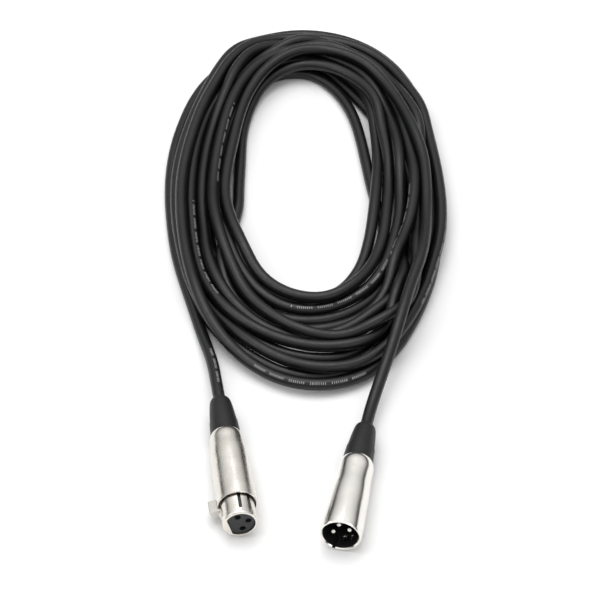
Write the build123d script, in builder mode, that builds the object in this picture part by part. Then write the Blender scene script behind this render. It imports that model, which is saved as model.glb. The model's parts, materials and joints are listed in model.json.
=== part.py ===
from build123d import *
import math
import os

os.makedirs("parts", exist_ok=True)

# A balanced microphone cable with a three-pole female connector at one end and a
# three-pole male connector at the other, lying wound in an oval coil on a flat
# surface. Millimetres. +Z is up, +Y runs from the connectors towards the coil,
# the surface is z = 0, and the origin is below the middle of the two connectors.

# ---------------------------------------------------------------- dimensions
CABLE_D = 5.6            # outer diameter of the round cable jacket
PIN_CIRCLE_R = 3.81      # the three contacts stand on a 7.62 mm circle, 90 degrees apart
PIN_R = 1.2              # male contact pin
SOCKET_R = 1.25          # bore of a female contact
WIRE_R = 0.7             # insulated conductor

# male connector: 0 is the mouth plane, distances run back along the axis
M_ORIGIN = (21.023, -40.557, 9.766)
M_YAW = 10.4             # nose swings towards -X
M_TILT = 2.3             # nose up, because the shell tapers
M_PIN3 = 108.0           # angle of contact 3 about the axis, seen from the front
M_LEN = 45.0             # shell length
M_BOOT = 22.9            # visible length of the boot
M_CAVITY_R = 8.05        # bore that takes the mating nose
M_CAVITY_DEPTH = 16.5
M_KEYWAY = 250.0         # angle of the keyway notch in the mouth

# female connector: 0 is the front edge of the sleeve, the nose stands out of it
F_ORIGIN = (-24.217, -22.557, 9.285)
F_YAW = -7.9
F_TILT = 1.2
F_PIN3 = 16.0
F_LATCH = F_PIN3 + 180.0
F_LEN = 42.5             # sleeve length
F_BOOT = 22.5
F_NOSE = 11.2            # nose ahead of the sleeve
NOSE_R = 7.9
NOSE_BORE_R = 6.7
FLAT_R = 4.95            # distance from the axis to the flat of the nose bore

# latch lever, in the plane through the axis at F_LATCH
PIVOT_R, PIVOT_S = 6.1, -12.0
LATCH_PIN_R = 0.5
LEVER_W = 3.8

# coil
COIL_H = 14.0


def axis_plane(origin, yaw, tilt):
    """Plane across a connector: z runs out of its front, y is up, x to the right."""
    a, t = math.radians(yaw), math.radians(tilt)
    front = (-math.sin(a) * math.cos(t), -math.cos(a) * math.cos(t), math.sin(t))
    return Plane(origin=origin, x_dir=(math.cos(a), -math.sin(a), 0), z_dir=front)


def around(plane, angle):
    """Unit vector across the connector at an angle about its axis."""
    a = math.radians(angle)
    return plane.x_dir * math.cos(a) + plane.y_dir * math.sin(a)


def radial(plane, angle):
    """Plane through the connector's axis: x is the distance from the axis, y runs forward."""
    return Plane(origin=plane.origin, x_dir=around(plane, angle), z_dir=around(plane, angle - 90))


def outward(plane, angle, along):
    """Plane whose normal points away from the axis at an angle, at a place along it."""
    return Plane(origin=plane.origin + plane.z_dir * along, x_dir=plane.z_dir, z_dir=around(plane, angle))


def polar(angle, r=PIN_CIRCLE_R):
    return (r * math.cos(math.radians(angle)), r * math.sin(math.radians(angle)))


M = axis_plane(M_ORIGIN, M_YAW, M_TILT)
F = axis_plane(F_ORIGIN, F_YAW, F_TILT)
M_AXIS = Axis(M.origin, M.z_dir)
F_AXIS = Axis(F.origin, F.z_dir)


def write(part, name):
    part.label = name
    export_step(part, "parts/" + name + ".step")


# ================================================================ male connector
M_SCREW = M_PIN3 + 180.0
M_SCREW_S = -24.0

# Die-cast shell: tapering tube, mouth bore, step for the insert, rear bore for the
# strain relief, narrow rear opening for the boot.
with BuildPart() as male_shell:
    with BuildSketch(radial(M, 0)):
        with BuildLine():
            l1 = Polyline((8.45, 0.0), (8.05, -0.4), (M_CAVITY_R, -M_CAVITY_DEPTH), (7.6, -M_CAVITY_DEPTH),
                          (7.6, -34.0), (6.6, -34.0), (6.6, -42.0), (5.9, -42.0), (5.9, -M_LEN), (7.0, -M_LEN))
            l2 = Spline((7.0, -M_LEN), (7.42, -44.1), (8.02, -37.8), (8.6, -26.5), (9.1, -15.0), (9.38, -2.5), (9.3, -0.35))
            l3 = Polyline((9.3, -0.35), (9.0, 0.0), (8.45, 0.0))
        make_face()
    revolve(axis=M_AXIS)
    # keyway notch that runs in from the mouth
    with BuildSketch(radial(M, M_KEYWAY)):
        with Locations((8.2, -4.5)):
            Rectangle(1.2, 9.2)
    extrude(amount=0.8, both=True, mode=Mode.SUBTRACT)
    # pocket in the cavity wall that the mating latch drops into
    with BuildSketch(radial(M, M_SCREW)):
        with Locations((8.3, -6.6)):
            Rectangle(1.2, 3.8)
    extrude(amount=2.4, both=True, mode=Mode.SUBTRACT)
    # countersunk hole of the insert screw
    with BuildSketch(outward(M, M_SCREW, M_SCREW_S).offset(7.0)):
        Circle(1.03)
    extrude(amount=3.0, mode=Mode.SUBTRACT)
    with BuildSketch(outward(M, M_SCREW, M_SCREW_S).offset(8.05)):
        Circle(1.75)
    extrude(amount=2.0, mode=Mode.SUBTRACT)
write(male_shell.part, "male_shell")

# Moulded insert that carries the three pins at the bottom of the cavity.
with BuildPart() as male_insert:
    with BuildSketch(M.offset(-31.0)):
        Circle(7.55)
    extrude(amount=31.0 - M_CAVITY_DEPTH)
    with BuildSketch(M.offset(-M_CAVITY_DEPTH)):
        for k in (0, 90, -90):
            with Locations(polar(M_PIN3 + k)):
                Circle(2.0)
    extrude(amount=0.8)
    with BuildSketch(M.offset(-31.5)):
        for k in (0, 90, -90):
            with Locations(polar(M_PIN3 + k)):
                Circle(1.6)
    extrude(amount=17.0, mode=Mode.SUBTRACT)
    # tapped blind hole for the insert screw
    with BuildSketch(outward(M, M_SCREW, M_SCREW_S).offset(4.3)):
        Circle(1.0)
    extrude(amount=4.0, mode=Mode.SUBTRACT)
    # rebate that keeps the rear edge off the shell's step
    with BuildSketch(M.offset(-31.0)):
        Circle(7.6)
        Circle(7.0, mode=Mode.SUBTRACT)
    extrude(amount=1.2, mode=Mode.SUBTRACT)
write(male_insert.part, "male_insert")

# Turned contact pins: rounded and dimpled tip in front, solder cup behind.
for number, k in ((1, 90), (2, -90), (3, 0)):
    px, py = polar(M_PIN3 + k)
    stem = M.origin + M.x_dir * px + M.y_dir * py
    pin_plane = Plane(origin=stem, x_dir=M.x_dir, z_dir=M.z_dir)
    with BuildPart() as male_pin:
        with BuildSketch(radial(pin_plane, 0)):
            with BuildLine():
                p1 = Polyline((0, -33.5), (0.98, -33.5), (0.98, -31.0), (1.6, -30.6), (1.6, -15.7), (PIN_R, -15.7), (PIN_R, -3.5))
                p2 = TangentArc((PIN_R, -3.5), (0.5, -2.6), tangent=(0, 1))
                p3 = Polyline((0.5, -2.6), (0.32, -2.6), (0.0, -3.0), (0, -33.5))
            make_face()
        revolve(axis=Axis(stem, M.z_dir))
        # solder cup
        with BuildSketch(pin_plane.offset(-33.5)):
            Circle(0.74)
        extrude(amount=3.0, mode=Mode.SUBTRACT)
        with BuildSketch(outward(pin_plane, M_PIN3 + k, -32.6)):
            Rectangle(2.4, 1.3)
        extrude(amount=2.0, mode=Mode.SUBTRACT)
    write(male_pin.part, "male_pin_%d" % number)

# Insert screw, flush with the shell, with a cross slot.
with BuildPart() as male_screw:
    with BuildSketch(outward(M, M_SCREW, M_SCREW_S).offset(4.5)):
        Circle(0.98)
    extrude(amount=3.6)
    with BuildSketch(outward(M, M_SCREW, M_SCREW_S).offset(8.08)):
        Circle(1.65)
    extrude(amount=0.55)
    with BuildSketch(outward(M, M_SCREW, M_SCREW_S).offset(8.35)):
        Rectangle(2.2, 0.4)
        Rectangle(0.4, 2.2)
    extrude(amount=1.0, mode=Mode.SUBTRACT)
write(male_screw.part, "male_insert_screw")

# Shield lug: thin strip behind the insert from contact 1 to the shell.
with BuildPart() as male_lug:
    with BuildSketch(Plane(origin=M.origin - M.z_dir * 31.45, x_dir=around(M, M_PIN3 + 90), z_dir=M.z_dir)):
        with Locations((4.8, 0)):
            Rectangle(5.0, 3.2)
        with Locations((PIN_CIRCLE_R, 0)):
            Circle(1.04, mode=Mode.SUBTRACT)
    extrude(amount=0.4)
    with BuildSketch(Plane(origin=M.origin - M.z_dir * 33.6, x_dir=around(M, M_PIN3 + 90), z_dir=M.z_dir)):
        with Locations((7.18, 0)):
            Rectangle(0.4, 2.6)
    extrude(amount=2.5)
write(male_lug.part, "male_shield_lug")

# Slotted plastic collet that grips the cable jacket.
with BuildPart() as male_collet:
    with BuildSketch(radial(M, 0)):
        with BuildLine():
            Polyline((2.82, -41.8), (2.82, -36.9), (5.9, -36.9), (6.4, -37.7), (6.4, -39.5), (5.6, -41.8), close=True)
        make_face()
    revolve(axis=M_AXIS)
    with BuildSketch(M.offset(-41.9)):
        Rectangle(14.0, 0.9)
        Rectangle(0.9, 14.0)
    extrude(amount=4.2, mode=Mode.SUBTRACT)
write(male_collet.part, "male_strain_relief_collet")

# Rubber boot with a neck pressed into the rear opening of the shell.
with BuildPart() as male_boot:
    with BuildSketch(radial(M, 0)):
        with BuildLine():
            b1 = Polyline((6.95, -M_LEN), (5.85, -M_LEN), (5.85, -42.05), (2.85, -42.05), (2.85, -M_LEN - M_BOOT),
                          (3.5, -M_LEN - M_BOOT))
            b2 = Spline((3.5, -M_LEN - M_BOOT), (4.75, -66.5), (5.25, -63.9), (5.95, -57.1), (6.55, -51.0), (6.95, -M_LEN),
                        tangents=[(1, 0.25), (0.05, 1)])
        make_face()
    revolve(axis=M_AXIS)
write(male_boot.part, "male_boot")

# Cable end inside the boot and collet, and its three conductors.
with BuildPart() as male_cable_end:
    with BuildSketch(M.offset(-M_LEN - M_BOOT)):
        Circle(CABLE_D / 2)
    extrude(amount=M_LEN + M_BOOT - 36.7)
write(male_cable_end.part, "male_cable_end")

for number, k, colour in ((1, 90, "shield"), (2, -90, "hot"), (3, 0, "cold")):
    inner = polar(M_PIN3 + k, 1.15)
    outer = polar(M_PIN3 + k)
    with BuildPart() as wire:
        with BuildLine() as route:
            w0 = M.origin + M.x_dir * inner[0] + M.y_dir * inner[1] - M.z_dir * 36.65
            w1 = M.origin + M.x_dir * inner[0] + M.y_dir * inner[1] - M.z_dir * 36.1
            w2 = M.origin + M.x_dir * outer[0] + M.y_dir * outer[1] - M.z_dir * 34.5
            w3 = M.origin + M.x_dir * outer[0] + M.y_dir * outer[1] - M.z_dir * 31.6
            FilletPolyline(w0, w1, w2, w3, radius=0.8)
        with BuildSketch(Plane(origin=w0, x_dir=M.x_dir, z_dir=M.z_dir)):
            Circle(WIRE_R)
        sweep()
    write(wire.part, "male_%s_wire" % colour)


# ================================================================ female connector
F_SCREW = 250.0
F_SCREW_S = -19.0

# Outer sleeve: tapering tube with a shallow ring-shaped recess round the nose.
with BuildPart() as female_sleeve:
    with BuildSketch(radial(F, 0)):
        with BuildLine():
            s1 = Polyline((8.45, 0.0), (8.45, -8.0), (7.3, -8.0), (7.3, -33.0), (6.5, -33.0), (6.5, -39.6),
                          (5.85, -39.6), (5.85, -F_LEN), (6.85, -F_LEN))
            s2 = Spline((6.85, -F_LEN), (7.35, -41.4), (7.95, -37.3), (8.45, -32.0), (8.75, -23.0), (8.98, -10.0), (9.12, -0.3))
            s3 = Polyline((9.12, -0.3), (8.85, 0.0), (8.45, 0.0))
        make_face()
    revolve(axis=F_AXIS)
    # notch in the front edge that the latch tab stands in
    with BuildSketch(radial(F, F_LATCH)):
        with Locations((9.0, -3.1)):
            Rectangle(2.4, 6.3)
    extrude(amount=2.3, both=True, mode=Mode.SUBTRACT)
    # hole and counterbore of the insert screw
    with BuildSketch(outward(F, F_SCREW, F_SCREW_S).offset(6.8)):
        Circle(1.03)
    extrude(amount=3.0, mode=Mode.SUBTRACT)
    with BuildSketch(outward(F, F_SCREW, F_SCREW_S).offset(8.05)):
        Circle(1.75)
    extrude(amount=2.0, mode=Mode.SUBTRACT)
write(female_sleeve.part, "female_sleeve")

# Slotted nose that enters the male shell. Its bore has one flat, and the latch
# lever lies in a channel cut along that side.
with BuildPart() as female_nose:
    with BuildSketch(radial(F, 0)):
        with BuildLine():
            n1 = Polyline((0, -25.0), (7.27, -25.0), (7.27, -8.0), (NOSE_R - 0.35, -8.0), (NOSE_R - 0.35, 8.1), (NOSE_R, 8.25),
                          (NOSE_R, F_NOSE - 0.7))
            n2 = TangentArc((NOSE_R, F_NOSE - 0.7), (NOSE_R - 0.7, F_NOSE), tangent=(0, 1))
            n3 = Polyline((NOSE_R - 0.7, F_NOSE), (0, F_NOSE), (0, -25.0))
        make_face()
    revolve(axis=F_AXIS)
    # D-shaped bore
    with BuildSketch(Plane(origin=F.origin - F.z_dir * 25.0, x_dir=around(F, F_LATCH), z_dir=F.z_dir)):
        Circle(NOSE_BORE_R)
        with Locations((FLAT_R + 2.0, 0)):
            Rectangle(4.0, 16.0, mode=Mode.SUBTRACT)
    extrude(amount=25.0 + F_NOSE, mode=Mode.SUBTRACT)
    # latch channel
    with BuildSketch(radial(F, F_LATCH)):
        with Locations((6.8, -9.2)):
            Rectangle(4.0, 32.8)
    extrude(amount=2.15, both=True, mode=Mode.SUBTRACT)
    # cross hole for the latch pin
    with BuildSketch(radial(F, F_LATCH)):
        with Locations((PIVOT_R, PIVOT_S)):
            Circle(LATCH_PIN_R)
    extrude(amount=3.0, both=True, mode=Mode.SUBTRACT)
    # long slots that let the nose spring, in pairs about contact 3
    for angle in (F_PIN3 + 69, F_PIN3 + 34, F_PIN3 - 34, F_PIN3 - 69):
        with BuildSketch(radial(F, angle)):
            with Locations((7.6, 0.0)):
                Rectangle(2.4, 15.8)
        extrude(amount=0.75, both=True, mode=Mode.SUBTRACT)
    # clearance for the insert screw
    with BuildSketch(outward(F, F_SCREW, F_SCREW_S).offset(5.5)):
        Circle(1.03)
    extrude(amount=3.0, mode=Mode.SUBTRACT)
write(female_nose.part, "female_nose")

# Moulded insert: D-shaped, three stepped contact holes, blind screw hole.
with BuildPart() as female_insert:
    with BuildSketch(Plane(origin=F.origin - F.z_dir * 24.0, x_dir=around(F, F_LATCH), z_dir=F.z_dir)):
        Circle(NOSE_BORE_R - 0.05)
        with Locations((FLAT_R + 1.95, 0)):
            Rectangle(4.0, 16.0, mode=Mode.SUBTRACT)
    extrude(amount=24.0 + F_NOSE - 0.8)
    front_edges = female_insert.faces().sort_by(F_AXIS)[-1].edges()
    fillet(front_edges, radius=0.35)
    with BuildSketch(F.offset(-24.5)):
        for k in (0, 90, -90):
            with Locations(polar(F_PIN3 + k)):
                Circle(1.75)
    extrude(amount=24.5 + 8.4, mode=Mode.SUBTRACT)
    with BuildSketch(F.offset(8.0)):
        for k in (0, 90, -90):
            with Locations(polar(F_PIN3 + k)):
                Circle(1.4)
    extrude(amount=4.0, mode=Mode.SUBTRACT)
    with BuildSketch(outward(F, F_SCREW, F_SCREW_S).offset(4.4)):
        Circle(1.0)
    extrude(amount=4.0, mode=Mode.SUBTRACT)
write(female_insert.part, "female_insert")

# Socket contacts: blind bore in front, solder cup behind.
for number, k in ((1, 90), (2, -90), (3, 0)):
    px, py = polar(F_PIN3 + k)
    stem = F.origin + F.x_dir * px + F.y_dir * py
    contact_plane = Plane(origin=stem, x_dir=F.x_dir, z_dir=F.z_dir)
    with BuildPart() as contact:
        with BuildSketch(contact_plane.offset(-24.2)):
            Circle(1.73)
        extrude(amount=24.2 + 8.35)
        with BuildSketch(contact_plane.offset(-28.4)):
            Circle(0.98)
        extrude(amount=4.3)
        with BuildSketch(contact_plane.offset(8.35)):
            Circle(SOCKET_R)
        extrude(amount=-13.0, mode=Mode.SUBTRACT)
        with BuildSketch(contact_plane.offset(-28.4)):
            Circle(0.74)
        extrude(amount=3.4, mode=Mode.SUBTRACT)
        with BuildSketch(outward(contact_plane, F_PIN3 + k, -27.4)):
            Rectangle(2.4, 1.3)
        extrude(amount=2.0, mode=Mode.SUBTRACT)
    write(contact.part, "female_contact_%d" % number)

# Latch lever: bar in the channel, hook ahead, thumb tab standing out of the notch.
with BuildPart() as latch_lever:
    with BuildSketch(radial(F, F_LATCH)):
        with BuildLine():
            Polyline((5.3, -14.2), (6.6, -14.2), (6.95, -12.4), (7.0, -11.0), (7.05, -8.2), (7.5, -7.4), (7.5, -5.3), (12.6, -5.3), (12.6, 1.5),
                     (7.6, 1.5), (7.6, 3.0), (8.45, 3.5), (8.45, 4.6), (7.6, 6.7), (6.75, 6.7), (5.3, -10.5), close=True)
        make_face()
    extrude(amount=LEVER_W / 2, both=True)
    tab_edges = latch_lever.edges().filter_by(lambda e: (e.center() - F.origin).dot(around(F, F_LATCH)) > 12.5)
    fillet(tab_edges, radius=0.35)
    with BuildSketch(radial(F, F_LATCH)):
        with Locations((PIVOT_R, PIVOT_S)):
            Circle(LATCH_PIN_R + 0.04)
    extrude(amount=3.0, both=True, mode=Mode.SUBTRACT)
write(latch_lever.part, "latch_lever")

with BuildPart() as latch_pin:
    with BuildSketch(radial(F, F_LATCH)):
        with Locations((PIVOT_R, PIVOT_S)):
            Circle(LATCH_PIN_R)
    extrude(amount=2.95, both=True)
write(latch_pin.part, "latch_pivot_pin")

# Leaf spring under the lever, foot on the flat of the insert.
with BuildPart() as latch_spring:
    with BuildSketch(radial(F, F_LATCH)):
        with BuildLine():
            Polyline((4.92, -9.6), (5.12, -9.6), (5.12, -7.4), (5.95, -1.4), (5.88, -0.6), (5.68, -0.7), (5.74, -1.4),
                     (4.92, -7.3), close=True)
        make_face()
    extrude(amount=1.2, both=True)
write(latch_spring.part, "latch_leaf_spring")

with BuildPart() as female_screw:
    with BuildSketch(outward(F, F_SCREW, F_SCREW_S).offset(4.6)):
        Circle(0.98)
    extrude(amount=3.5)
    with BuildSketch(outward(F, F_SCREW, F_SCREW_S).offset(8.08)):
        Circle(1.65)
    extrude(amount=0.55)
    with BuildSketch(outward(F, F_SCREW, F_SCREW_S).offset(8.35)):
        Rectangle(2.2, 0.4)
        Rectangle(0.4, 2.2)
    extrude(amount=1.0, mode=Mode.SUBTRACT)
write(female_screw.part, "female_insert_screw")

with BuildPart() as female_lug:
    with BuildSketch(Plane(origin=F.origin - F.z_dir * 25.5, x_dir=around(F, F_PIN3 + 90), z_dir=F.z_dir)):
        with Locations((4.65, 0)):
            Rectangle(4.7, 3.2)
        with Locations((PIN_CIRCLE_R, 0)):
            Circle(1.04, mode=Mode.SUBTRACT)
    extrude(amount=0.4)
    with BuildSketch(Plane(origin=F.origin - F.z_dir * 27.6, x_dir=around(F, F_PIN3 + 90), z_dir=F.z_dir)):
        with Locations((6.9, 0)):
            Rectangle(0.4, 2.6)
    extrude(amount=2.4)
write(female_lug.part, "female_shield_lug")

with BuildPart() as female_collet:
    with BuildSketch(radial(F, 0)):
        with BuildLine():
            Polyline((2.82, -39.4), (2.82, -33.6), (5.8, -33.6), (6.3, -34.6), (6.3, -37.4), (5.5, -39.4), close=True)
        make_face()
    revolve(axis=F_AXIS)
    with BuildSketch(F.offset(-39.5)):
        Rectangle(14.0, 0.9)
        Rectangle(0.9, 14.0)
    extrude(amount=4.2, mode=Mode.SUBTRACT)
write(female_collet.part, "female_strain_relief_collet")

with BuildPart() as female_boot:
    with BuildSketch(radial(F, 0)):
        with BuildLine():
            c1 = Polyline((6.85, -F_LEN), (5.8, -F_LEN), (5.8, -39.65), (2.85, -39.65), (2.85, -F_LEN - F_BOOT),
                          (3.5, -F_LEN - F_BOOT))
            c2 = Spline((3.5, -F_LEN - F_BOOT), (4.75, -63.6), (5.25, -61.0), (5.95, -54.4), (6.5, -48.4), (6.85, -F_LEN),
                        tangents=[(1, 0.25), (0.05, 1)])
        make_face()
    revolve(axis=F_AXIS)
write(female_boot.part, "female_boot")

with BuildPart() as female_cable_end:
    with BuildSketch(F.offset(-F_LEN - F_BOOT)):
        Circle(CABLE_D / 2)
    extrude(amount=F_LEN + F_BOOT - 32.6)
write(female_cable_end.part, "female_cable_end")

for number, k, colour in ((1, 90, "shield"), (2, -90, "hot"), (3, 0, "cold")):
    inner = polar(F_PIN3 + k, 1.15)
    outer = polar(F_PIN3 + k)
    with BuildPart() as wire:
        with BuildLine() as route:
            w0 = F.origin + F.x_dir * inner[0] + F.y_dir * inner[1] - F.z_dir * 32.55
            w1 = F.origin + F.x_dir * inner[0] + F.y_dir * inner[1] - F.z_dir * 31.6
            w2 = F.origin + F.x_dir * outer[0] + F.y_dir * outer[1] - F.z_dir * 29.2
            w3 = F.origin + F.x_dir * outer[0] + F.y_dir * outer[1] - F.z_dir * 25.2
            FilletPolyline(w0, w1, w2, w3, radius=1.6)
        with BuildSketch(Plane(origin=w0, x_dir=F.x_dir, z_dir=F.z_dir)):
            Circle(WIRE_R)
        sweep()
    write(wire.part, "female_%s_wire" % colour)


# ================================================================ cable
# Straight runs joined by the largest tangent arcs that the runs allow.
def arc_radii(points):
    radii = []
    for a, b, c in zip(points, points[1:], points[2:]):
        r1, r2 = Vector(*b) - Vector(*a), Vector(*c) - Vector(*b)
        turn = r1.get_angle(r2)
        radii.append(0.45 * min(r1.length, r2.length) / math.tan(math.radians(turn) / 2))
    return radii


def on_axis(plane, along):
    p = plane.origin + plane.z_dir * along
    return (p.X, p.Y, p.Z)


F_EXIT = on_axis(F, -F_LEN - F_BOOT)
F_AHEAD = on_axis(F, -F_LEN - F_BOOT - 14.0)
M_EXIT = on_axis(M, -M_LEN - M_BOOT)
M_AHEAD = on_axis(M, -M_LEN - M_BOOT - 11.0)

female_points = [F_EXIT, F_AHEAD, (-38.4, 76.0, 5.3), (-41.6, 92.3, 3.4), (-45.6, 107.5, 2.9)]
male_points = [M_EXIT, M_AHEAD, (40.1, 53.9, 7.8), (44.7, 69.1, 9.6)]

for name, points, plane in (("female_tail", female_points, F), ("male_tail", male_points, M)):
    radii = arc_radii(points)
    print(name, "radii", [round(r, 1) for r in radii])
    with BuildPart() as tail:
        with BuildLine() as route:
            FilletPolyline(*points, radius=radii)
        start = route.line @ 0
        with BuildSketch(Plane(origin=start, x_dir=plane.x_dir, z_dir=-plane.z_dir)):
            Circle(CABLE_D / 2)
        sweep()
    length = sum(edge.length for edge in route.edges())
    print(name, "length", round(length, 1), "volume", round(tail.part.volume, 1),
          "section x length", round(math.pi * CABLE_D ** 2 / 4 * length, 1))
    write(tail.part, name)

# The coiled part of the cable as one closed oval ring with a flat underside.
OUTER = [(-63.4, 187.9), (-60.9, 233.9), (-45.4, 273.9), (3.6, 311.4), (51.1, 284.4), (69.6, 230.9),
         (73.1, 180.9), (62.1, 111.9), (41.6, 66.4), (11.6, 51.9), (-29.9, 76.9), (-55.9, 132.9)]
INNER = [(-24.9, 182.9), (-22.4, 227.9), (-14.4, 262.9), (3.6, 274.9), (21.6, 256.9), (32.6, 217.9),
         (37.1, 180.9), (31.6, 133.9), (11.6, 111.4), (-16.4, 125.9), (-25.9, 150.9)]
with BuildPart() as cable_coil:
    with BuildSketch(Plane.XY):
        with BuildLine():
            Spline(*OUTER, periodic=True)
        make_face()
    extrude(amount=COIL_H)
    with BuildSketch(Plane.XY):
        with BuildLine():
            Spline(*INNER, periodic=True)
        make_face()
    extrude(amount=COIL_H, mode=Mode.SUBTRACT)
    top_edges = cable_coil.faces().sort_by(Axis.Z)[-1].edges()
    fillet(top_edges, radius=4.0)
    bottom_edges = cable_coil.faces().sort_by(Axis.Z)[0].edges()
    fillet(bottom_edges, radius=2.0)
write(cable_coil.part, "cable_coil")
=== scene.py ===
import json
import math

import bmesh
import bpy
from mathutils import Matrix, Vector


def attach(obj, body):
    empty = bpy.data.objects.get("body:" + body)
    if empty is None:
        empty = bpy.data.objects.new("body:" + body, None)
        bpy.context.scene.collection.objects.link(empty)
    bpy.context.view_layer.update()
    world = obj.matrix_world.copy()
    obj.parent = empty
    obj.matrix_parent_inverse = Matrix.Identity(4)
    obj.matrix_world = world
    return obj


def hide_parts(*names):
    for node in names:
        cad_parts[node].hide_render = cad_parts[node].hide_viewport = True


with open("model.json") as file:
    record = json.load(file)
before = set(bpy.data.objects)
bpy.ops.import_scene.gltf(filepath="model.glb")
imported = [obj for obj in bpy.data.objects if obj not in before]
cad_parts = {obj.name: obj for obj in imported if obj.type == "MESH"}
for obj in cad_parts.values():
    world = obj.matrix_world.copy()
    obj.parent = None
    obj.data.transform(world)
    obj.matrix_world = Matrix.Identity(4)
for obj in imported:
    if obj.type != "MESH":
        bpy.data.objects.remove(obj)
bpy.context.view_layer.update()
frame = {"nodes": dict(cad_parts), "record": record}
nodes = frame["nodes"]

CABLE_D = 0.0056

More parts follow.
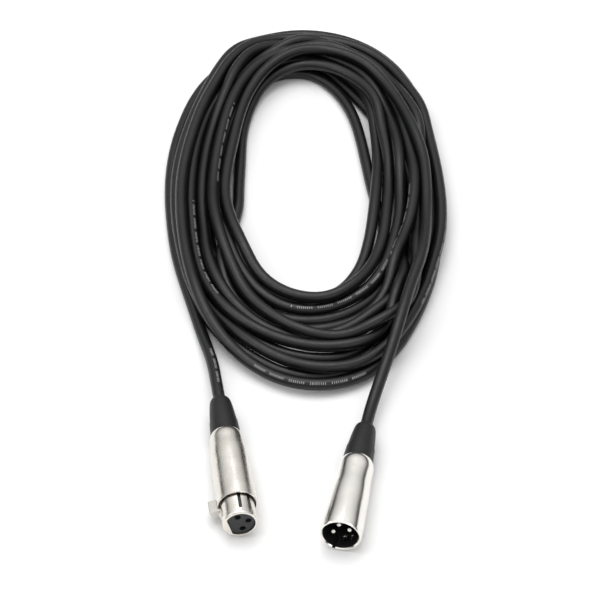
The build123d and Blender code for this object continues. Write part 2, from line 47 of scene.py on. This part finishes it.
# Points of the cord's route in metres, from the female boot, through the turns of
# the coil, to the male boot. They are the control points of one spline.
ROUTE = [
    (-0.0332, 0.0418, 0.0079), (-0.0347, 0.0512, 0.0078), (-0.0371, 0.0692, 0.0052), (-0.0422, 0.0877, 0.0029),
    (-0.0470, 0.1064, 0.0028), (-0.0521, 0.1249, 0.0029), (-0.0564, 0.1435, 0.0028), (-0.0589, 0.1626, 0.0029),
    (-0.0605, 0.1816, 0.0028), (-0.0608, 0.2006, 0.0028), (-0.0593, 0.2197, 0.0029), (-0.0557, 0.2384, 0.0028),
    (-0.0505, 0.2569, 0.0029), (-0.0421, 0.2740, 0.0028), (-0.0283, 0.2875, 0.0029), (-0.0129, 0.2994, 0.0028),
    (0.0059, 0.3028, 0.0029), (0.0245, 0.2984, 0.0028), (0.0398, 0.2868, 0.0029), (0.0509, 0.2711, 0.0028),
    (0.0580, 0.2534, 0.0038), (0.0607, 0.2351, 0.0093), (0.0594, 0.2152, 0.0059), (0.0598, 0.1964, 0.0030),
    (0.0593, 0.1774, 0.0028), (0.0583, 0.1585, 0.0030), (0.0572, 0.1398, 0.0028), (0.0528, 0.1211, 0.0029),
    (0.0466, 0.1026, 0.0028), (0.0381, 0.0855, 0.0029), (0.0241, 0.0733, 0.0028), (0.0052, 0.0731, 0.0029),
    (-0.0125, 0.0807, 0.0028), (-0.0258, 0.0944, 0.0029), (-0.0352, 0.1111, 0.0029), (-0.0416, 0.1290, 0.0028),
    (-0.0456, 0.1477, 0.0029), (-0.0478, 0.1667, 0.0028), (-0.0492, 0.1858, 0.0029), (-0.0487, 0.2048, 0.0028),
    (-0.0462, 0.2237, 0.0029), (-0.0422, 0.2426, 0.0028), (-0.0363, 0.2610, 0.0030), (-0.0272, 0.2781, 0.0098),
    (-0.0155, 0.2925, 0.0054), (0.0032, 0.2969, 0.0028), (0.0219, 0.2934, 0.0029), (0.0367, 0.2812, 0.0028),
    (0.0476, 0.2654, 0.0029), (0.0530, 0.2465, 0.0028), (0.0628, 0.2290, 0.0029), (0.0651, 0.2113, 0.0028),
    (0.0654, 0.1923, 0.0029), (0.0648, 0.1733, 0.0028), (0.0639, 0.1542, 0.0029), (0.0621, 0.1352, 0.0028),
    (0.0575, 0.1165, 0.0029), (0.0510, 0.0983, 0.0029), (0.0427, 0.0809, 0.0028), (0.0297, 0.0669, 0.0029),
    (0.0121, 0.0604, 0.0028), (-0.0063, 0.0645, 0.0029), (-0.0216, 0.0764, 0.0028), (-0.0360, 0.0895, 0.0037),
    (-0.0443, 0.1061, 0.0086), (-0.0502, 0.1242, 0.0084), (-0.0539, 0.1430, 0.0085), (-0.0566, 0.1619, 0.0082),
    (-0.0577, 0.1810, 0.0079), (-0.0572, 0.2000, 0.0080), (-0.0545, 0.2189, 0.0083), (-0.0503, 0.2375, 0.0086),
    (-0.0449, 0.2559, 0.0085), (-0.0383, 0.2743, 0.0088), (-0.0303, 0.2915, 0.0079), (-0.0168, 0.3039, 0.0028),
    (0.0017, 0.3087, 0.0029), (0.0207, 0.3064, 0.0028), (0.0378, 0.2974, 0.0029), (0.0508, 0.2835, 0.0028),
    (0.0595, 0.2664, 0.0029), (0.0649, 0.2480, 0.0028), (0.0685, 0.2292, 0.0029), (0.0708, 0.2103, 0.0028),
    (0.0710, 0.1911, 0.0028), (0.0706, 0.1720, 0.0029), (0.0695, 0.1529, 0.0028), (0.0677, 0.1338, 0.0029),
    (0.0631, 0.1153, 0.0028), (0.0567, 0.0972, 0.0029), (0.0484, 0.0796, 0.0028), (0.0370, 0.0642, 0.0034),
    (0.0208, 0.0545, 0.0052), (0.0020, 0.0543, 0.0054), (-0.0149, 0.0632, 0.0050), (-0.0287, 0.0767, 0.0066),
    (-0.0393, 0.0922, 0.0107), (-0.0462, 0.1095, 0.0147), (-0.0504, 0.1281, 0.0143), (-0.0531, 0.1470, 0.0140),
    (-0.0546, 0.1661, 0.0135), (-0.0549, 0.1851, 0.0129), (-0.0531, 0.2041, 0.0130), (-0.0497, 0.2229, 0.0136),
    (-0.0454, 0.2415, 0.0137), (-0.0394, 0.2596, 0.0125), (-0.0323, 0.2780, 0.0127), (-0.0207, 0.2933, 0.0109),
    (-0.0024, 0.2996, 0.0079), (0.0168, 0.2983, 0.0081), (0.0350, 0.2914, 0.0087), (0.0489, 0.2782, 0.0085),
    (0.0582, 0.2611, 0.0083), (0.0651, 0.2432, 0.0104), (0.0678, 0.2238, 0.0083), (0.0704, 0.2049, 0.0087),
    (0.0722, 0.1859, 0.0085), (0.0727, 0.1669, 0.0084), (0.0711, 0.1479, 0.0085), (0.0665, 0.1292, 0.0086),
    (0.0617, 0.1107, 0.0086), (0.0541, 0.0929, 0.0086), (0.0445, 0.0762, 0.0085), (0.0300, 0.0639, 0.0081),
    (0.0118, 0.0613, 0.0089), (-0.0057, 0.0689, 0.0070), (-0.0210, 0.0807, 0.0074), (-0.0328, 0.0956, 0.0049),
    (-0.0421, 0.1121, 0.0031), (-0.0478, 0.1305, 0.0028), (-0.0516, 0.1491, 0.0029), (-0.0537, 0.1680, 0.0028),
    (-0.0551, 0.1871, 0.0029), (-0.0543, 0.2061, 0.0028), (-0.0518, 0.2252, 0.0029), (-0.0476, 0.2439, 0.0028),
    (-0.0421, 0.2628, 0.0029), (-0.0314, 0.2779, 0.0028), (-0.0131, 0.2861, 0.0029), (0.0046, 0.2916, 0.0028),
    (0.0228, 0.2859, 0.0029), (0.0365, 0.2727, 0.0028), (0.0444, 0.2553, 0.0029), (0.0510, 0.2372, 0.0028),
    (0.0547, 0.2186, 0.0029), (0.0539, 0.1993, 0.0028), (0.0536, 0.1801, 0.0029), (0.0527, 0.1611, 0.0028),
    (0.0512, 0.1417, 0.0041), (0.0540, 0.1238, 0.0121), (0.0486, 0.1071, 0.0150), (0.0445, 0.0885, 0.0065),
    (0.0311, 0.0764, 0.0095), (0.0116, 0.0759, 0.0077), (-0.0071, 0.0813, 0.0079), (-0.0234, 0.0914, 0.0091),
    (-0.0360, 0.1059, 0.0091), (-0.0438, 0.1233, 0.0080), (-0.0475, 0.1422, 0.0081), (-0.0494, 0.1613, 0.0083),
    (-0.0505, 0.1804, 0.0085), (-0.0500, 0.1994, 0.0085), (-0.0481, 0.2184, 0.0084), (-0.0442, 0.2371, 0.0086),
    (-0.0370, 0.2548, 0.0084), (-0.0255, 0.2703, 0.0101), (-0.0127, 0.2839, 0.0105), (0.0043, 0.2924, 0.0155),
    (0.0221, 0.2913, 0.0086), (0.0391, 0.2811, 0.0084), (0.0501, 0.2652, 0.0078), (0.0570, 0.2474, 0.0127),
    (0.0634, 0.2287, 0.0143), (0.0636, 0.2099, 0.0083), (0.0662, 0.1908, 0.0086), (0.0668, 0.1717, 0.0080),
    (0.0661, 0.1524, 0.0081), (0.0617, 0.1337, 0.0086), (0.0548, 0.1158, 0.0079), (0.0411, 0.1016, 0.0087),
    (0.0262, 0.0899, 0.0053), (0.0075, 0.0853, 0.0034), (-0.0109, 0.0890, 0.0052), (-0.0254, 0.1011, 0.0072),
    (-0.0359, 0.1177, 0.0102), (-0.0412, 0.1361, 0.0101), (-0.0427, 0.1552, 0.0078), (-0.0446, 0.1742, 0.0079),
    (-0.0446, 0.1933, 0.0084), (-0.0431, 0.2122, 0.0084), (-0.0399, 0.2311, 0.0095), (-0.0350, 0.2494, 0.0128),
    (-0.0292, 0.2677, 0.0161), (-0.0200, 0.2855, 0.0130), (-0.0046, 0.2942, 0.0085), (0.0149, 0.2863, 0.0083),
    (0.0299, 0.2756, 0.0099), (0.0405, 0.2593, 0.0114), (0.0474, 0.2417, 0.0083), (0.0506, 0.2233, 0.0119),
    (0.0524, 0.2043, 0.0149), (0.0528, 0.1856, 0.0096), (0.0524, 0.1666, 0.0083), (0.0492, 0.1479, 0.0092),
    (0.0445, 0.1290, 0.0084), (0.0348, 0.1132, 0.0075), (0.0178, 0.1040, 0.0049), (-0.0007, 0.1033, 0.0044),
    (-0.0166, 0.1135, 0.0065), (-0.0259, 0.1298, 0.0086), (-0.0319, 0.1479, 0.0116), (-0.0382, 0.1666, 0.0093),
    (-0.0389, 0.1861, 0.0073), (-0.0382, 0.2050, 0.0074), (-0.0356, 0.2240, 0.0082), (-0.0316, 0.2428, 0.0084),
    (-0.0247, 0.2611, 0.0086), (-0.0136, 0.2766, 0.0082), (0.0039, 0.2828, 0.0081), (0.0209, 0.2762, 0.0087),
    (0.0344, 0.2619, 0.0072), (0.0396, 0.2449, 0.0092), (0.0417, 0.2255, 0.0059), (0.0423, 0.2065, 0.0063),
    (0.0411, 0.1875, 0.0088), (0.0395, 0.1685, 0.0083), (0.0371, 0.1493, 0.0063), (0.0325, 0.1306, 0.0039),
    (0.0215, 0.1150, 0.0029), (0.0040, 0.1092, 0.0028), (-0.0129, 0.1171, 0.0030), (-0.0239, 0.1328, 0.0028),
    (-0.0284, 0.1524, 0.0087), (-0.0332, 0.1701, 0.0075), (-0.0343, 0.1888, 0.0028), (-0.0347, 0.2078, 0.0029),
    (-0.0333, 0.2270, 0.0028), (-0.0295, 0.2459, 0.0029), (-0.0224, 0.2641, 0.0028), (-0.0089, 0.2769, 0.0029),
    (0.0093, 0.2778, 0.0029), (0.0221, 0.2645, 0.0028), (0.0300, 0.2468, 0.0029), (0.0339, 0.2278, 0.0028),
    (0.0364, 0.2088, 0.0029), (0.0390, 0.1899, 0.0028), (0.0422, 0.1710, 0.0029), (0.0453, 0.1521, 0.0028),
    (0.0469, 0.1327, 0.0029), (0.0405, 0.1151, 0.0028), (0.0264, 0.1018, 0.0029), (0.0081, 0.0967, 0.0028),
    (-0.0104, 0.1009, 0.0029), (-0.0227, 0.1154, 0.0028), (-0.0334, 0.1317, 0.0029), (-0.0408, 0.1484, 0.0028),
    (-0.0407, 0.1688, 0.0029), (-0.0434, 0.1873, 0.0028), (-0.0425, 0.2066, 0.0029), (-0.0402, 0.2255, 0.0028),
    (-0.0357, 0.2442, 0.0029), (-0.0296, 0.2627, 0.0029), (-0.0181, 0.2777, 0.0028), (-0.0006, 0.2847, 0.0029),
    (0.0172, 0.2806, 0.0028), (0.0278, 0.2650, 0.0029), (0.0380, 0.2486, 0.0028), (0.0464, 0.2317, 0.0031),
    (0.0512, 0.2136, 0.0084), (0.0572, 0.1954, 0.0084), (0.0607, 0.1769, 0.0087), (0.0606, 0.1581, 0.0080),
    (0.0594, 0.1394, 0.0139), (0.0591, 0.1204, 0.0138), (0.0551, 0.1002, 0.0132), (0.0422, 0.0874, 0.0153),
    (0.0235, 0.0819, 0.0077), (0.0054, 0.0838, 0.0100), (-0.0101, 0.0953, 0.0094), (-0.0223, 0.1102, 0.0091),
    (-0.0295, 0.1275, 0.0122), (-0.0354, 0.1460, 0.0158), (-0.0388, 0.1648, 0.0155), (-0.0392, 0.1838, 0.0131),
    (-0.0379, 0.2029, 0.0131), (-0.0354, 0.2218, 0.0139), (-0.0317, 0.2407, 0.0142), (-0.0260, 0.2591, 0.0143),
    (-0.0161, 0.2751, 0.0139), (0.0004, 0.2848, 0.0135), (0.0190, 0.2876, 0.0144), (0.0355, 0.2781, 0.0116),
    (0.0456, 0.2611, 0.0086), (0.0530, 0.2434, 0.0081), (0.0559, 0.2245, 0.0113), (0.0584, 0.2057, 0.0125),
    (0.0599, 0.1869, 0.0148), (0.0587, 0.1679, 0.0140), (0.0548, 0.1496, 0.0125), (0.0486, 0.1314, 0.0141),
    (0.0451, 0.1136, 0.0062), (0.0335, 0.0996, 0.0028), (0.0157, 0.0921, 0.0028), (-0.0035, 0.0919, 0.0028),
    (-0.0200, 0.1016, 0.0029), (-0.0311, 0.1166, 0.0053), (-0.0353, 0.1364, 0.0099), (-0.0325, 0.1532, 0.0028),
    (-0.0267, 0.1721, 0.0034), (-0.0268, 0.1914, 0.0028), (-0.0262, 0.2105, 0.0029), (-0.0260, 0.2298, 0.0028),
    (-0.0227, 0.2489, 0.0033), (-0.0153, 0.2661, 0.0066), (-0.0007, 0.2769, 0.0091), (0.0171, 0.2733, 0.0122),
    (0.0322, 0.2614, 0.0132), (0.0422, 0.2449, 0.0146), (0.0443, 0.2257, 0.0110), (0.0473, 0.2071, 0.0099),
    (0.0473, 0.1882, 0.0074), (0.0458, 0.1692, 0.0084), (0.0440, 0.1500, 0.0087), (0.0391, 0.1315, 0.0088),
    (0.0303, 0.1146, 0.0117), (0.0154, 0.1050, 0.0102), (-0.0025, 0.1097, 0.0087), (-0.0165, 0.1231, 0.0086),
    (-0.0244, 0.1401, 0.0139), (-0.0307, 0.1583, 0.0144), (-0.0335, 0.1771, 0.0124), (-0.0323, 0.1961, 0.0124),
    (-0.0298, 0.2151, 0.0122), (-0.0271, 0.2342, 0.0122), (-0.0225, 0.2529, 0.0125), (-0.0133, 0.2696, 0.0145),
    (0.0017, 0.2804, 0.0170), (0.0198, 0.2815, 0.0153), (0.0362, 0.2720, 0.0160), (0.0472, 0.2563, 0.0142),
    (0.0546, 0.2386, 0.0150), (0.0600, 0.2203, 0.0167), (0.0647, 0.2016, 0.0144), (0.0654, 0.1824, 0.0140),
    (0.0650, 0.1634, 0.0133), (0.0640, 0.1444, 0.0165), (0.0614, 0.1258, 0.0198), (0.0559, 0.1078, 0.0192),
    (0.0514, 0.0893, 0.0194), (0.0459, 0.0710, 0.0131), (0.0400, 0.0529, 0.0089), (0.0349, 0.0356, 0.0061),
    (0.0333, 0.0262, 0.0070),
]

# Places of the print on the jacket: name, start and end along the cord in metres,
# and the side of the jacket that carries it.
PRINTS = [
    ('s3', 2.9605, 3.0307, (0.5, -0.35, 0.75)),
    ('s5', 5.3673, 5.4276, (0.75, -0.1, 0.6)),
    ('r2', 2.2138, 2.2866, (0.85, -0.1, 0.5)),
    ('r2b', 2.1964, 2.2138, (0.85, -0.1, 0.5)),
    ('b8', 1.728, 1.784, (0, -0.55, 0.8)),
    ('r4', 3.874, 3.934, (0.15, -0.4, 0.9)),
    ('r3', 5.624, 5.676, (-0.8, -0.3, 0.5)),
    ('tail', 0.0099, 0.0368, (0.3, -0.5, 0.8)),
]


# ---------------------------------------------------------------- node helpers
def new_material(name):
    m = bpy.data.materials.new(name)
    m.use_nodes = True
    return m, m.node_tree, m.node_tree.nodes["Principled BSDF"]


def coords(tree, scale=(1, 1, 1), rotation=(0, 0, 0)):
    c = tree.nodes.new("ShaderNodeTexCoord")
    p = tree.nodes.new("ShaderNodeMapping")
    p.inputs["Scale"].default_value = scale
    p.inputs["Rotation"].default_value = rotation
    tree.links.new(c.outputs["Object"], p.inputs["Vector"])
    return p.outputs["Vector"]


def noise(tree, vector, scale, detail=3.0, rough=0.5, distortion=0.0):
    n = tree.nodes.new("ShaderNodeTexNoise")
    n.inputs["Scale"].default_value = scale
    n.inputs["Detail"].default_value = detail
    n.inputs["Roughness"].default_value = rough
    n.inputs["Distortion"].default_value = distortion
    tree.links.new(vector, n.inputs["Vector"])
    return n.outputs["Fac"]


def ramp(tree, fac, stops):
    r = tree.nodes.new("ShaderNodeValToRGB")
    e = r.color_ramp.elements
    while len(e) < len(stops):
        e.new(0.5)
    for k, (pos, col) in enumerate(stops):
        e[k].position = pos
        e[k].color = (col[0], col[1], col[2], 1.0)
    tree.links.new(fac, r.inputs["Fac"])
    return r.outputs["Color"]


def span(tree, fac, low, high, at=(0.35, 0.65)):
    r = tree.nodes.new("ShaderNodeMapRange")
    r.inputs["From Min"].default_value = at[0]
    r.inputs["From Max"].default_value = at[1]
    r.inputs["To Min"].default_value = low
    r.inputs["To Max"].default_value = high
    tree.links.new(fac, r.inputs["Value"])
    return r.outputs["Result"]


def bump(tree, shader, layers):
    last = None
    for height, strength, distance in layers:
        b = tree.nodes.new("ShaderNodeBump")
        b.inputs["Strength"].default_value = strength
        b.inputs["Distance"].default_value = distance
        tree.links.new(height, b.inputs["Height"])
        if last is not None:
            tree.links.new(last, b.inputs["Normal"])
        last = b.outputs["Normal"]
    tree.links.new(last, shader.inputs["Normal"])


def radius_and_depth(tree, origin, yaw, tilt):
    """Distance from a connector's axis, and distance along it out of the front, in metres."""
    c = tree.nodes.new("ShaderNodeTexCoord")
    a, b = math.radians(yaw), math.radians(tilt)
    front = (-math.sin(a) * math.cos(b), -math.cos(a) * math.cos(b), math.sin(b))
    off = tree.nodes.new("ShaderNodeVectorMath")
    off.operation = "SUBTRACT"
    tree.links.new(c.outputs["Object"], off.inputs[0])
    off.inputs[1].default_value = origin
    dot = tree.nodes.new("ShaderNodeVectorMath")
    dot.operation = "DOT_PRODUCT"
    tree.links.new(off.outputs["Vector"], dot.inputs[0])
    dot.inputs[1].default_value = front
    cross = tree.nodes.new("ShaderNodeVectorMath")
    cross.operation = "CROSS_PRODUCT"
    tree.links.new(off.outputs["Vector"], cross.inputs[0])
    cross.inputs[1].default_value = front
    size = tree.nodes.new("ShaderNodeVectorMath")
    size.operation = "LENGTH"
    tree.links.new(cross.outputs["Vector"], size.inputs[0])
    return size.outputs["Value"], dot.outputs["Value"]


def bore_painted_shade(m, origin, yaw, tilt, inside, behind, ahead):
    """Painted shade in a bore: inside a radius, between two depths, a metal material is painted black, made
    non-metallic and made rougher.
    """
    t = m.node_tree
    s = t.nodes["Principled BSDF"]
    r, d = radius_and_depth(t, origin, yaw, tilt)
    near = t.nodes.new("ShaderNodeMath")
    near.operation = "LESS_THAN"
    t.links.new(r, near.inputs[0])
    near.inputs[1].default_value = inside
    deep = t.nodes.new("ShaderNodeMath")
    deep.operation = "LESS_THAN"
    t.links.new(d, deep.inputs[0])
    deep.inputs[1].default_value = behind
    front = t.nodes.new("ShaderNodeMath")
    front.operation = "GREATER_THAN"
    t.links.new(d, front.inputs[0])
    front.inputs[1].default_value = ahead
    band = t.nodes.new("ShaderNodeMath")
    band.operation = "MULTIPLY"
    t.links.new(deep.outputs[0], band.inputs[0])
    t.links.new(front.outputs[0], band.inputs[1])
    both = t.nodes.new("ShaderNodeMath")
    both.operation = "MULTIPLY"
    t.links.new(near.outputs[0], both.inputs[0])
    t.links.new(band.outputs[0], both.inputs[1])
    plain = t.nodes.new("ShaderNodeMath")
    plain.operation = "SUBTRACT"
    plain.inputs[0].default_value = 1.0
    t.links.new(both.outputs[0], plain.inputs[1])
    t.links.new(plain.outputs[0], s.inputs["Metallic"])
    colour = s.inputs["Base Color"].links[0].from_socket
    # painted shade: black mixed into the colour inside the bore's recess
    mix = t.nodes.new("ShaderNodeMix")
    mix.data_type = "RGBA"
    t.links.new(both.outputs[0], mix.inputs["Factor"])
    t.links.new(colour, mix.inputs["A"])
    mix.inputs["B"].default_value = (0.006, 0.006, 0.006, 1.0)
    t.links.new(mix.outputs["Result"], s.inputs["Base Color"])
    rough = s.inputs["Roughness"].links[0].from_socket
    add = t.nodes.new("ShaderNodeMath")
    add.operation = "MULTIPLY_ADD"
    t.links.new(both.outputs[0], add.inputs[0])
    add.inputs[1].default_value = 0.35
    t.links.new(rough, add.inputs[2])
    t.links.new(add.outputs[0], s.inputs["Roughness"])
    return m


def metal(name, tint, worn, rough, angle=0.0, grain=0.5, aniso=0.0):
    m, t, s = new_material(name)
    s.inputs["Metallic"].default_value = 1.0
    s.inputs["Anisotropic"].default_value = aniso
    fine = coords(t, (1.0, 0.06, 1.0), (0, 0, angle))
    plain = coords(t)
    broad = noise(t, plain, 90, 3, 0.5)
    lines = noise(t, fine, 2600, 3, 0.6)
    pits = noise(t, plain, 2600, 2, 0.5)
    t.links.new(ramp(t, broad, [(0.30, worn), (0.62, tint)]), s.inputs["Base Color"])
    mix = t.nodes.new("ShaderNodeMath")
    mix.operation = "ADD"
    t.links.new(span(t, broad, rough * 0.8, rough * 1.15), mix.inputs[0])
    t.links.new(span(t, lines, -0.03, 0.05), mix.inputs[1])
    t.links.new(mix.outputs[0], s.inputs["Roughness"])
    bump(t, s, [(lines, 0.05 * grain, 0.00005), (pits, 0.06 * grain, 0.00003)])
    return m


def rubber(name, dark, light, rough, grain_scale, grain, scuff=0.4):
    m, t, s = new_material(name)
    s.inputs["Specular IOR Level"].default_value = 0.40
    plain = coords(t)
    broad = noise(t, plain, 60, 5, 0.6)
    dust = noise(t, plain, 420, 6, 0.7, 0.4)
    fine = noise(t, plain, grain_scale, 3, 0.55)
    base = ramp(t, broad, [(0.30, dark), (0.72, light)])
    mix = t.nodes.new("ShaderNodeMix")
    mix.data_type = "RGBA"
    t.links.new(span(t, dust, 0.0, scuff * 0.25, (0.58, 0.82)), mix.inputs["Factor"])
    t.links.new(base, mix.inputs["A"])
    mix.inputs["B"].default_value = (0.05, 0.05, 0.049, 1.0)
    t.links.new(mix.outputs["Result"], s.inputs["Base Color"])
    t.links.new(span(t, dust, rough - 0.07, rough + 0.09), s.inputs["Roughness"])
    bump(t, s, [(fine, grain, 0.00008), (dust, grain * 0.5, 0.0001)])
    return m


def plastic(name, dark, light, rough, grain=0.2):
    m, t, s = new_material(name)
    plain = coords(t)
    broad = noise(t, plain, 300, 4, 0.6)
    fine = noise(t, plain, 3200, 2, 0.5)
    t.links.new(ramp(t, broad, [(0.3, dark), (0.7, light)]), s.inputs["Base Color"])
    t.links.new(span(t, broad, rough - 0.06, rough + 0.08), s.inputs["Roughness"])
    bump(t, s, [(fine, grain, 0.00005)])
    return m


def braid(name):
    m, t, s = new_material(name)
    s.inputs["Metallic"].default_value = 1.0
    w = t.nodes.new("ShaderNodeTexWave")
    w.inputs["Scale"].default_value = 900
    w.inputs["Distortion"].default_value = 1.5
    t.links.new(coords(t, (1, 1, 1), (0.5, 0.3, 0.8)), w.inputs["Vector"])
    t.links.new(ramp(t, w.outputs["Fac"], [(0.2, (0.30, 0.17, 0.10)), (0.8, (0.75, 0.55, 0.42))]), s.inputs["Base Color"])
    s.inputs["Roughness"].default_value = 0.35
    bump(t, s, [(w.outputs["Fac"], 0.6, 0.0001)])
    return m


MATERIALS = {
    # nickel_polished carries painted shade, black inside the male shell's bore
    "nickel_polished": bore_painted_shade(metal("nickel_polished", (0.90, 0.88, 0.835), (0.83, 0.81, 0.765), 0.19, math.radians(10.4), 0.8),
                              (0.021023, -0.040557, 0.009766), 10.4, 2.3, 0.00895, -0.0006, -0.0178),
    "nickel_satin": metal("nickel_satin", (0.79, 0.757, 0.70), (0.71, 0.68, 0.63), 0.25, math.radians(-7.9), 1.6),
    "latch_metal": metal("latch_metal", (0.70, 0.675, 0.63), (0.58, 0.56, 0.52), 0.33, math.radians(-7.9), 1.6),
    "insert_plastic": plastic("insert_plastic", (0.010, 0.0105, 0.0125), (0.020, 0.021, 0.024), 0.50, 0.30),
    "contact_silver": metal("contact_silver", (0.90, 0.885, 0.85), (0.80, 0.78, 0.74), 0.16, 0.0, 0.5),
    "spring_steel": metal("spring_steel", (0.56, 0.56, 0.57), (0.42, 0.42, 0.43), 0.30, 0.0, 1.0),
    "screw_steel": metal("screw_steel", (0.52, 0.52, 0.52), (0.36, 0.36, 0.36), 0.34, 0.0, 1.0),
    "lug_brass": metal("lug_brass", (0.74, 0.60, 0.36), (0.58, 0.44, 0.24), 0.30, 0.0, 1.0),
    "collet_plastic": plastic("collet_plastic", (0.60, 0.59, 0.55), (0.74, 0.73, 0.69), 0.42),
    "boot_rubber": rubber("boot_rubber", (0.0040, 0.0040, 0.0044), (0.0075, 0.0075, 0.0080), 0.50, 1800, 0.24, 0.12),
    "wire_shield": braid("wire_shield"),
    "wire_red": plastic("wire_red", (0.40, 0.02, 0.02), (0.56, 0.04, 0.03), 0.40),
    "wire_white": plastic("wire_white", (0.70, 0.70, 0.67), (0.82, 0.82, 0.79), 0.40),
    "cable_jacket": rubber("cable_jacket", (0.0020, 0.0020, 0.0024), (0.0046, 0.0046, 0.0052), 0.40, 1500, 0.22, 0.12),
}

SLOT_OF = {p["node"]: p["material_slot"] for p in frame["record"]["subparts"]}
for name, o in nodes.items():
    if getattr(o, "type", "") != "MESH":
        continue
    want = MATERIALS[SLOT_OF[name]]
    if not o.material_slots:
        o.data.materials.append(want)
    for s in o.material_slots:
        s.material = want

# ---------------------------------------------------------------- the cord
data = bpy.data.curves.new("cable", "CURVE")
data.dimensions = "3D"
data.resolution_u = 6
line = data.splines.new("NURBS")
line.points.add(len(ROUTE) - 1)
for point, (x, y, z) in zip(line.points, ROUTE):
    point.co = (x, y, z, 1.0)
line.order_u = 3
line.use_endpoint_u = True
cable = bpy.data.objects.new("cable", data)
bpy.context.scene.collection.objects.link(cable)

# the spline's own points, read from it before it gets its thickness
bare = bpy.data.meshes.new_from_object(cable)
path = [v.co.copy() for v in bare.vertices]
bpy.data.meshes.remove(bare)
along = [0.0]
for a, b in zip(path, path[1:]):
    along.append(along[-1] + (b - a).length)

data.bevel_depth = CABLE_D / 2
data.bevel_resolution = 6
data.use_fill_caps = True
data.materials.append(MATERIALS["cable_jacket"])


def place(s):
    """Point and direction of the cord at a distance along it."""
    k = 0
    low, high = 0, len(along) - 2
    while low < high:
        k = (low + high + 1) // 2
        if along[k] <= s:
            low = k
        else:
            high = k - 1
    k = low
    step = max(along[k + 1] - along[k], 1e-9)
    w = (s - along[k]) / step
    here = path[k].lerp(path[k + 1], w)
    lo, hi = max(0, k - 2), min(len(path) - 1, k + 3)
    return here, (path[hi] - path[lo]).normalized()


ink, tree, shader = new_material("jacket_print")
flecks = noise(tree, coords(tree), 2600, 4, 0.7)
tree.links.new(ramp(tree, flecks, [(0.32, (0.08, 0.08, 0.078)), (0.50, (0.36, 0.36, 0.352))]), shader.inputs["Base Color"])
shader.inputs["Roughness"].default_value = 0.55
bump(tree, shader, [(flecks, 0.2, 0.00005)])

for name, first, last, side in PRINTS:
    bm = bmesh.new()
    side = Vector(side)
    s = first
    k = 0
    while s < last - 0.0022:
        # a plain row of fine upright ticks of one size in groups of eight, no letters
        wide = 0.00032
        tall = 0.20
        rows = 4
        grid = []
        for i in range(3):
            here, ahead = place(s + wide * i / 2)
            out = (side - ahead * side.dot(ahead)).normalized()
            across = ahead.cross(out)
            ring = []
            for j in range(rows + 1):
                a = tall * (2 * j / rows - 1)
                ring.append(bm.verts.new(here + (out * math.cos(a) + across * math.sin(a)) * (CABLE_D / 2 + 0.00003)))
            grid.append(ring)
        for i in range(2):
            for j in range(rows):
                bm.faces.new((grid[i][j], grid[i + 1][j], grid[i + 1][j + 1], grid[i][j + 1]))
        s += wide + (0.0027 if k % 8 == 7 else 0.00062)
        k += 1
    bmesh.ops.recalc_face_normals(bm, faces=bm.faces)
    mesh = bpy.data.meshes.new("jacket_print_" + name)
    bm.to_mesh(mesh)
    bm.free()
    mark = bpy.data.objects.new("jacket_print_" + name, mesh)
    mesh.materials.append(ink)
    bpy.context.scene.collection.objects.link(mark)
    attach(mark, "root")

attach(cable, "root")
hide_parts("female_tail", "cable_coil", "male_tail")

# ---------------------------------------------------------------- floor, light, camera
floor_mat, tree, shader = new_material("studio_floor")
grain = noise(tree, coords(tree), 40, 3, 0.5)
tree.links.new(ramp(tree, grain, [(0.3, (0.80, 0.80, 0.80)), (0.7, (0.82, 0.82, 0.82))]), shader.inputs["Base Color"])
shader.inputs["Roughness"].default_value = 0.75
shader.inputs["Specular IOR Level"].default_value = 0.2
bm = bmesh.new()
bmesh.ops.create_grid(bm, x_segments=4, y_segments=4, size=3.0)
floor_mesh = bpy.data.meshes.new("studio_floor")
bm.to_mesh(floor_mesh)
bm.free()
floor = bpy.data.objects.new("studio_floor", floor_mesh)
floor_mesh.materials.append(floor_mat)
bpy.context.scene.collection.objects.link(floor)


def area(name, at, target, size, power, colour=(1, 1, 1)):
    light = bpy.data.lights.new(name, "AREA")
    light.shape = "RECTANGLE"
    light.size, light.size_y = size
    light.energy = power
    light.color = colour
    o = bpy.data.objects.new(name, light)
    o.location = at
    o.rotation_euler = (Vector(target) - Vector(at)).to_track_quat("-Z", "Y").to_euler()
    bpy.context.scene.collection.objects.link(o)
    return o


area("key_overhead", (-0.15, 0.35, 1.25), (0, 0.10, 0), (1.1, 0.9), 9.5)
area("fill_left", (-1.1, -0.1, 0.75), (0, 0.08, 0), (0.7, 0.7), 3.0)
area("fill_front", (0.5, -1.1, 0.7), (0, 0.0, 0), (0.8, 0.5), 2.0)

world = bpy.data.worlds.new("studio")
world.use_nodes = True
wt = world.node_tree
where = wt.nodes.new("ShaderNodeTexCoord")
split = wt.nodes.new("ShaderNodeSeparateXYZ")
wt.links.new(where.outputs["Generated"], split.inputs["Vector"])
sky = ramp(wt, split.outputs["Z"], [(0.0, (0.05, 0.05, 0.05)), (0.14, (0.025, 0.025, 0.025)), (0.34, (0.55, 0.55, 0.55)), (0.66, (1.0, 1.0, 1.0))])
wt.links.new(sky, wt.nodes["Background"].inputs["Color"])
wt.nodes["Background"].inputs["Strength"].default_value = 1.0
bpy.context.scene.world = world
bpy.context.scene.view_settings.view_transform = "Standard"

cam_data = bpy.data.cameras.new("camera")
cam_data.lens = 174.0
cam_data.sensor_width = 36.0
cam_data.clip_start = 0.01
cam_data.clip_end = 20.0
camera = bpy.data.objects.new("camera", cam_data)
camera.location = (0.003453, -0.863107, 0.978)
camera.rotation_euler = (math.radians(45.0), 0.0, 0.0)
bpy.context.scene.collection.objects.link(camera)
bpy.context.scene.camera = camera


def plain(box):
    return [[float(c) for c in corner] for corner in box]
